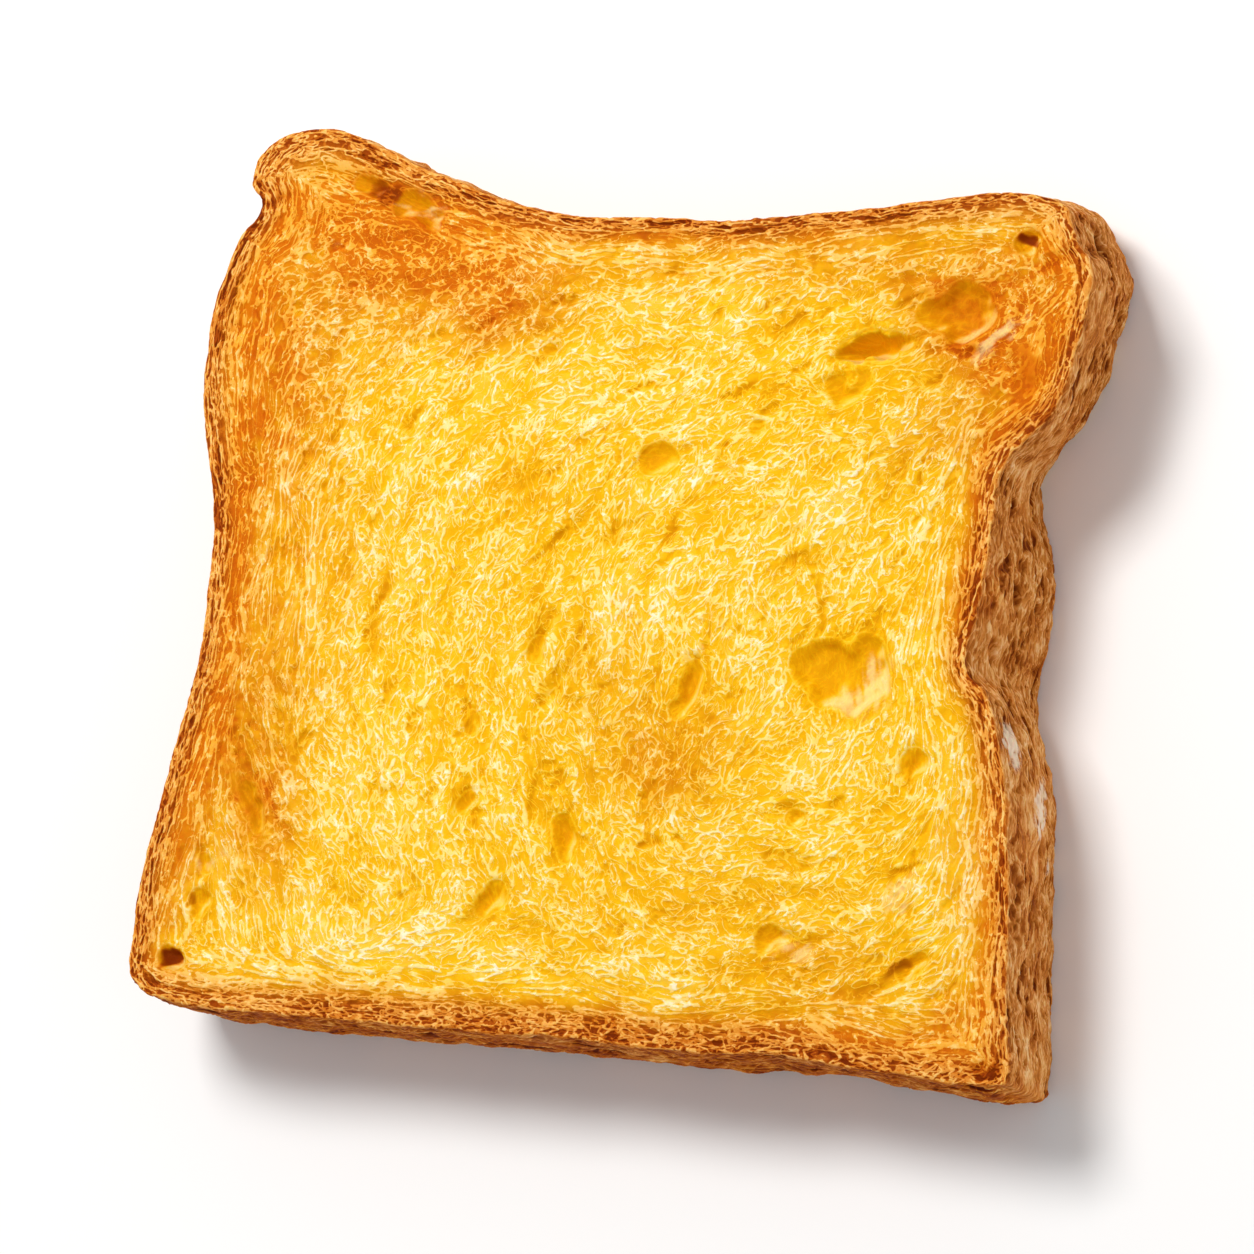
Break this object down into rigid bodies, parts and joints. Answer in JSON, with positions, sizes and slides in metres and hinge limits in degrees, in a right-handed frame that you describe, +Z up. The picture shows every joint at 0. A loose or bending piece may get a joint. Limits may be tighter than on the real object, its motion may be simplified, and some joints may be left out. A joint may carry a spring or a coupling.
{
  "type": "toasted bread slice",
  "caption": "Thick slice of a square sandwich loaf, toasted golden, with a browned crust, a porous crumb and a dipped crown between two rounded ears. It lies flat on one cut face.",
  "frame": {"origin": "middle of the slice's footprint, on the surface that it lies on", "axes": "+Z up out of the toasted cut face, +Y to the crown of the loaf, +X to the side with the sharp waist"},
  "size_m": [0.1264, 0.122, 0.024],
  "materials": {
    "toast": "dry, porous, toasted crumb with a matt brown crust"
  },
  "bodies": {
    "root": {"bread_slice": "toast"}
  },
  "joints": []
}
